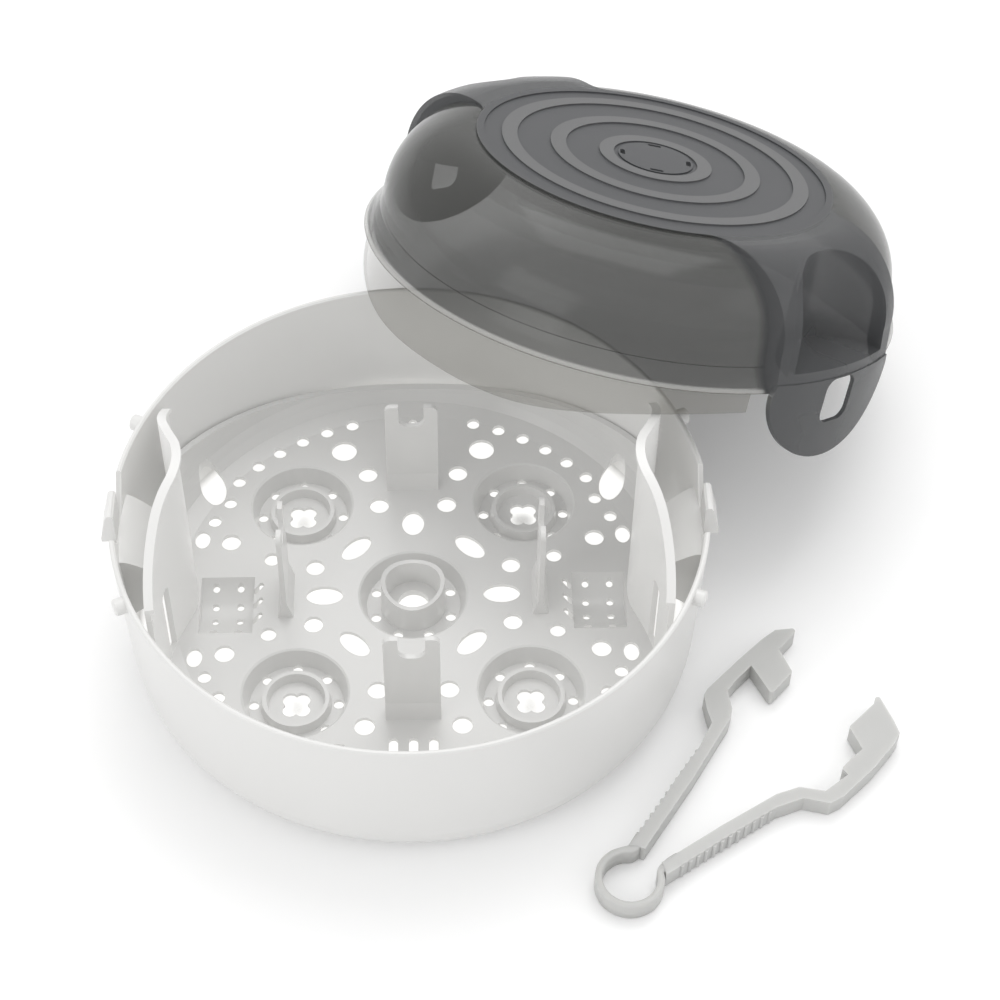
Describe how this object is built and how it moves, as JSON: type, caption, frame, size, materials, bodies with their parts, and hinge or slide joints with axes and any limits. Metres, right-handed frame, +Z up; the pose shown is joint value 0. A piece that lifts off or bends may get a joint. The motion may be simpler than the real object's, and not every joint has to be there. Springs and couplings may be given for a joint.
{
  "type": "microwave bottle sterilizer",
  "caption": "Round microwave steam sterilizer for baby bottles: water bowl, lift-out bottle rack with side handles, domed clip-on lid leaning open behind it, and sprung tongs.",
  "frame": {"origin": "centre of the base's underside, at the height of the table it stands on", "axes": "+Z up; +X along the two side grips of the base; the front is at -Y, and the open lid leans behind it at +Y"},
  "size_m": [0.3947, 0.4693, 0.1727],
  "materials": {
    "white_plastic": "satin white polypropylene",
    "clear_plastic": "smoky translucent polypropylene, glossy on the dome and matt on the strap",
    "milky_plastic": "milky translucent polypropylene"
  },
  "bodies": {
    "base": {"base": "white_plastic"},
    "rack": {"rack": "white_plastic", "rack_edge_front": "white_plastic", "rack_edge_back": "white_plastic", "rack_handle_left": "white_plastic", "rack_handle_right": "white_plastic", "rack_post_back": "white_plastic", "rack_post_front": "white_plastic", "rack_post_left": "white_plastic", "rack_post_right": "white_plastic", "rack_cup_left_front": "white_plastic", "rack_cup_left_back": "white_plastic", "rack_cup_right_front": "white_plastic", "rack_cup_right_back": "white_plastic", "rack_collar": "white_plastic"},
    "lid": {"lid": "clear_plastic"},
    "tongs": {"tongs_spring_loop": "milky_plastic", "tongs_fixed_arm": "milky_plastic"},
    "tongs_arm": {"tongs_moving_arm": "milky_plastic"}
  },
  "joints": [
    {"name": "rack_lift", "type": "slide", "parent": "base", "child": "rack", "axis": [0, 0, 1], "range_m": [0, 0.12]},
    {"name": "lid_lift", "type": "slide", "parent": "rack", "child": "lid", "axis": [0, 0, 1], "range_m": [0, 0.15]},
    {"name": "tongs_lift", "type": "slide", "parent": "base", "child": "tongs", "axis": [0, 0, 1], "range_m": [0, 0.1]},
    {"name": "tongs_squeeze", "type": "hinge", "parent": "tongs", "child": "tongs_arm", "pos_m": [0.0973, -0.155, 0], "axis": [0, 0, 1], "range_deg": [0, 16], "stiffness_Nm_per_rad": 1}
  ]
}
